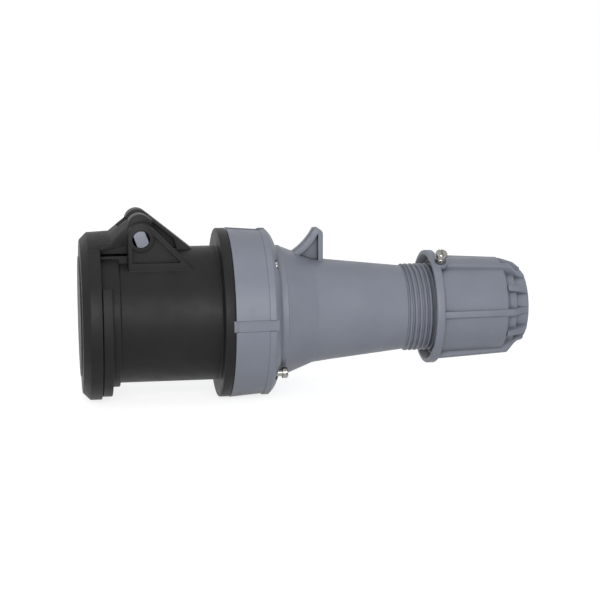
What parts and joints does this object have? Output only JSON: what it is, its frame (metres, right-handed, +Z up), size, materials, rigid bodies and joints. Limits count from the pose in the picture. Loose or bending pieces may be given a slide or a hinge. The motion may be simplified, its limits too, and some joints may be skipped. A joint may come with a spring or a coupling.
{
  "type": "industrial power coupler",
  "caption": "Round pin and sleeve cable socket with a sprung hinged lid, screwed cable housing, hook and ribbed gland nut.",
  "frame": {"origin": "centre of the socket's mouth, on the coupler's axis", "axes": "+X along the axis towards the cable, +Z up through the lid's hinge and the hook, +Y across"},
  "size_m": [0.3206, 0.121, 0.1355],
  "materials": {
    "black_plastic": "satin moulded, black",
    "grey_plastic": "satin moulded, blue-grey",
    "carrier_plastic": "matt moulded, dark grey",
    "rubber": "matt",
    "brass": "bright",
    "steel": "bright zinc or stainless",
    "spring_steel": "bright"
  },
  "bodies": {
    "coupler": {"socket_shell": "black_plastic", "hinge_pin": "grey_plastic", "lid_spring": "spring_steel", "contact_carrier": "carrier_plastic", "terminal_plate": "carrier_plastic", "plate_screws": "steel", "carrier_screws": "steel", "contact_l1": "brass", "contact_l2": "brass", "contact_l3": "brass", "contact_n": "brass", "contact_earth": "brass", "contact_pilot": "brass", "contact_rings": "spring_steel", "terminal_screws": "steel", "threaded_inserts": "brass", "flange_seal": "rubber", "cable_housing": "grey_plastic", "housing_screws": "steel", "gland_bush": "rubber"},
    "lid": {"lid": "black_plastic", "lid_gasket": "rubber"},
    "thrust_ring": {"thrust_ring": "grey_plastic"},
    "gland_nut": {"gland_nut": "grey_plastic", "lock_screw": "steel"}
  },
  "joints": [
    {"name": "lid_hinge", "type": "hinge", "parent": "coupler", "child": "lid", "pos_m": [0.0354, 0, 0.0575], "axis": [0, 1, 0], "range_deg": [0, 95], "stiffness_Nm_per_rad": 0.35, "springref_deg": -34.38, "deforming": ["lid_spring"]},
    {"name": "gland_travel", "type": "slide", "parent": "coupler", "child": "thrust_ring", "axis": [1, 0, 0], "range_m": [-0.0036, 0.0072]},
    {"name": "gland_turn", "type": "hinge", "parent": "thrust_ring", "child": "gland_nut", "pos_m": [0.28, 0, 0], "axis": [1, 0, 0], "range_deg": [-360, 720]}
  ],
  "couplings": [
    {"joint": "gland_travel", "follows": "gland_turn", "m_per_rad": 0.00057296}
  ]
}
